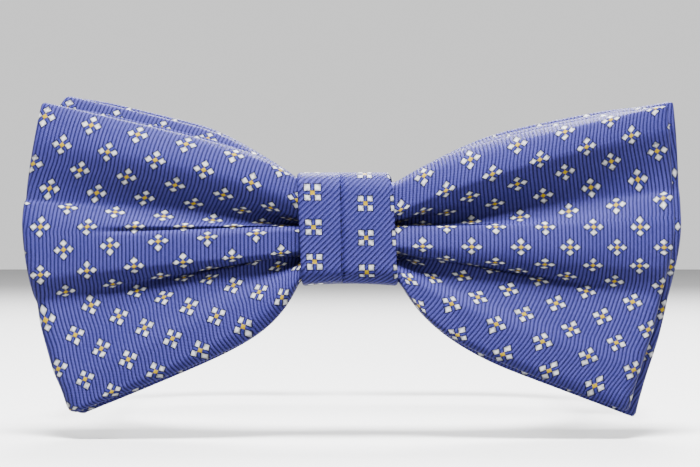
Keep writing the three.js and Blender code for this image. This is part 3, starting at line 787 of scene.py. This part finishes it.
def strap_section(thick, wide, seam):
    """(offset, height) and the place on the weave round a strap, with a sewn seam on one face."""
    half, high = thick / 2, wide / 2
    flat_to = high - half * 0.9
    beside_seam = [0.15, 0.4, 0.9, 2, 4, 6]
    face = np.array([-flat_to, *(-z for z in beside_seam[::-1]), 0, *beside_seam, flat_to])
    groove = np.exp(-((face / 0.22) ** 2)) * seam
    turn = np.linspace(0, math.pi, 7)[1:-1]
    outline = [(half, z) for z in face]
    outline += [(half * math.cos(t), flat_to + half * 0.9 * math.sin(t)) for t in turn]
    outline += [(-half + g, z) for z, g in zip(face[::-1], groove[::-1])]
    outline += [(-half * math.cos(t), -flat_to - half * 0.9 * math.sin(t)) for t in turn]
    outline = np.array(outline)
    steps = np.linalg.norm(np.diff(outline, axis=0, append=outline[:1]), axis=1)
    return outline, np.concatenate([[0], np.cumsum(steps)])


def sew_strap(name, line, inner_side, start):
    """A flat sewn strap standing on edge along a line. Its seam is on the inner side."""
    run = np.gradient(line, axis=0)
    run /= np.linalg.norm(run, axis=1, keepdims=True)
    left = np.stack([-run[:, 1], run[:, 0]], -1) * inner_side
    outline, weave_at = strap_section(STRAP_THICK, STRAP_WIDE, STRAP_SEAM)
    length = np.concatenate([[0], np.cumsum(np.linalg.norm(np.diff(line, axis=0), axis=1))])
    pressed = np.ones(len(line))
    pressed[0] = pressed[-1] = 0.72  # the cut ends are pressed thinner
    rings = []
    for point, sideways, share in zip(line, left, pressed):
        xy = point[None] - sideways[None] * outline[:, :1] * share
        rings.append(np.column_stack([xy, outline[:, 1] * (1 - (1 - share) * 0.03)]))
    points, around = np.concatenate(rings), len(outline)
    i, j = np.meshgrid(np.arange(len(line) - 1), np.arange(around), indexing="ij")
    corners = [(i, j), (i, j + 1), (i + 1, j + 1), (i + 1, j)]
    if inner_side < 0:
        corners = corners[::-1]
    grid = np.stack([np.stack(c, -1).reshape(-1, 2) for c in corners], 1)
    faces = (grid[..., 0] * around + grid[..., 1] % around).tolist()
    weave = np.stack([length[grid[..., 0]] + start, weave_at[grid[..., 1]]], -1).reshape(-1, 2)
    first, last = list(range(around)), list(range(len(points) - around, len(points)))
    caps = [first[::-1], last] if inner_side > 0 else [first, last[::-1]]
    cap_weave = np.stack([np.full(around, start), weave_at[:around]], -1)
    return add_mesh(name, points, faces + caps, np.concatenate([weave, cap_weave, cap_weave]))


# ---- Stitches ----


def lay_thread(name, path, radius):
    """Round thread along a path, with closed ends."""
    sides, step = 8, 0.1
    run = np.gradient(path, axis=0)
    run /= np.linalg.norm(run, axis=1, keepdims=True)
    side = np.cross(run, np.array([0.31, 0.42, 0.85]))
    side /= np.linalg.norm(side, axis=1, keepdims=True)
    up = np.cross(run, side)
    angles = np.arange(sides) * 2 * math.pi / sides
    size = np.full(len(path), radius)
    size[0] = size[-1] = radius * 0.5
    ring = side[:, None] * np.cos(angles)[:, None] + up[:, None] * np.sin(angles)[:, None]
    points = (path[:, None] + size[:, None, None] * ring).reshape(-1, 3)
    faces, weave = [], []
    for n in range(len(path) - 1):
        for k in range(sides):
            a, b = sides * n + k, sides * n + (k + 1) % sides
            faces.append([a, b, b + sides, a + sides])
            corners = [(n, k), (n, k + 1), (n + 1, k + 1), (n + 1, k)]
            weave += [(along * step, across * step) for along, across in corners]
    end = sides * (len(path) - 1)
    faces += [list(range(sides))[::-1], list(range(end, end + sides))]
    weave += [(0, 0)] * 2 * sides
    return add_mesh(name, points, faces, weave)


def zigzag(start, end, swing, count):
    """A thread's path to and fro between two lines, rounded at each stitch."""
    start, end, swing = (np.array(a, float) for a in (start, end, swing))
    share = np.linspace(0, 1, count * 6 + 1)
    wave = np.sin(share * count * math.pi + math.pi / 2)
    flat = np.sign(wave) * np.abs(wave) ** 0.6
    return start + (end - start) * share[:, None] + swing * flat[:, None]


def box_mm(node):
    """A CAD node's lowest corner, highest corner and middle, in millimetres."""
    low, high = (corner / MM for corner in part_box(node))
    return low, high, (low + high) / 2


def sew_bartack(name, node, body, swing, radius):
    """Stitches to and fro across a strap's whole width, where the CAD has its bartack."""
    low, high, middle = box_mm(node)
    path = zigzag((middle.x, middle.y, low.z + 0.2), (middle.x, middle.y, high.z - 0.2), swing, 36)
    dress(lay_thread(name, path, radius), THREAD, "thread", body, node)


def make_knot():
    knot = dress(wrap_knot(), SILK, "silk", "bow", "knot_silk")
    canvas = dress(line_knot(), CANVAS, "interlining", "bow", "knot_interlining")
    dress(wind_thread(), THREAD, "thread", "bow", "centre_winding")
    path = zigzag((-7, -0.22, SEAM_AT), (7, -0.22, SEAM_AT), (0, 0, 0.42), 14)
    dress(lay_thread("knot_slip_stitches", path, 0.11), THREAD, "thread", "bow", "knot_closing_stitches")


def make_neckband():
    """Two straps from behind the knot to the clasp, and the short end that holds the slider."""
    around_neck = [(10.85,), (43.0, 90), (46.0,), (32.0, 90)]
    round_hook_and_back = [(12.0,), (BAR_LOOP, 180), (12.0,), (29.0, -90), (20.45,)]
    bend = math.degrees(math.acos(1 - 0.85 / 6))
    round_catch = [(10.0,), (BAR_LOOP, 180), (6.0, bend), (6.0, -bend), (6.0,)]
    low, high, _ = box_mm("adjuster_strap_end")
    slider_y = STRAP_BACK - 64.0
    round_slider = [(high.y - slider_y,), (BAR_LOOP, 180), (5.0,)]
    lines = {
        "adjusting": route(STRAP_START, STRAP_FRONT, 0, around_neck + round_hook_and_back),
        "fixed": route(STRAP_START, STRAP_FRONT, 0, around_neck + round_catch, -1),
        "end": route(low.x + 0.5, high.y, -math.pi / 2, round_slider),
    }
    straps = [
        ("neckband_adjusting_silk", "adjusting", 1, 2.0, "bow", "neckband_adjusting_half", "slider"),
        ("neckband_fixed_silk", "fixed", -1, 5.0, "bow", "neckband_fixed_half", "catch"),
        ("adjuster_strap_silk", "end", 1, 1.0, "slider", "adjuster_strap_end", "slider"),
    ]
    for name, line, inner_side, start, body, node, metal in straps:
        strap = dress(sew_strap(name, lines[line], inner_side, start), SILK, "band_silk", body, node)
        length = float(np.linalg.norm(np.diff(lines[line], axis=0), axis=1).sum()) * MM
    low, high, _ = box_mm("adjuster_bartack")
    swing = ((high.x - low.x) / 2 - 0.12, 0.2, 0)
    sew_bartack("adjuster_tack_stitches", "adjuster_bartack", "slider", swing, 0.15)
    sew_bartack("catch_tack_stitches", "catch_end_bartack", "bow", (0.38, 0, 0), 0.14)


def finish_hardware():
    """The nickel pieces keep their CAD shape, with their edges softened."""
    for name in ("slider", "hook", "catch"):
        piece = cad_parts[name]
        piece.data.materials.clear()
        piece.data.materials.append(NICKEL)
        weld = piece.modifiers.new("weld", "WELD")
        weld.merge_threshold = 0.005 * MM
        flat = piece.modifiers.new("flat", "DECIMATE")
        flat.decimate_type = "DISSOLVE"
        flat.angle_limit = math.radians(1)
        bevel = piece.modifiers.new("soft edges", "BEVEL")
        bevel.width = 0.22 * MM
        bevel.segments = 3
        bevel.limit_method = "ANGLE"
        bevel.angle_limit = math.radians(50)
        bevel.harden_normals = False


# ---- Studio ----


def set_studio():
    bpy.ops.object.select_all(action="DESELECT")
    low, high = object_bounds()
    bpy.ops.mesh.primitive_circle_add(vertices=96, radius=2.5, fill_type="NGON", location=(0, 0, low.z - 0.004))
    floor = bpy.context.object
    floor.name = "floor"
    floor.data.transform(floor.matrix_world)
    floor.matrix_world.identity()
    floor.data.materials.append(pale_paper("pale_paper"))
    world = bpy.data.worlds.new("studio")
    world.use_nodes = True
    world.node_tree.nodes["Background"].inputs["Color"].default_value = (1.0, 1.0, 1.0, 1)
    world.node_tree.nodes["Background"].inputs["Strength"].default_value = 1.0
    bpy.context.scene.world = world
    lamps = [
        ("key", (0.0, -0.40, 0.88), 0.35, 165.0),
        ("fill", (0.7, -0.8, 0.25), 0.8, 4.0),
        ("behind", (0.05, 0.75, 0.75), 0.5, 75.0),
    ]
    for name, place, size, power in lamps:
        lamp = bpy.data.lights.new(name, "AREA")
        lamp.energy, lamp.size = power, size
        holder = bpy.data.objects.new(name, lamp)
        holder.location = place
        aim = Vector((0, 0.02, 0)) - Vector(place)
        holder.rotation_euler = aim.to_track_quat("-Z", "Y").to_euler()
        bpy.context.scene.collection.objects.link(holder)


def set_camera():
    """Straight on to the front of the bow, from half a metre away."""
    camera = bpy.data.cameras.new("camera")
    camera.sensor_width = 36.0
    distance, seen_width, bow_front = 0.52, 0.1328, -0.013
    camera.lens = camera.sensor_width * distance / seen_width
    camera.clip_start, camera.clip_end = 0.01, 20.0
    holder = bpy.data.objects.new("camera", camera)
    holder.location = (0.0001, bow_front - distance, -0.0008)
    holder.rotation_euler = (math.pi / 2, 0, 0)
    bpy.context.scene.collection.objects.link(holder)
    bpy.context.scene.camera = holder


set_camera()
make_bows()
make_knot()
make_neckband()
finish_hardware()
set_studio()
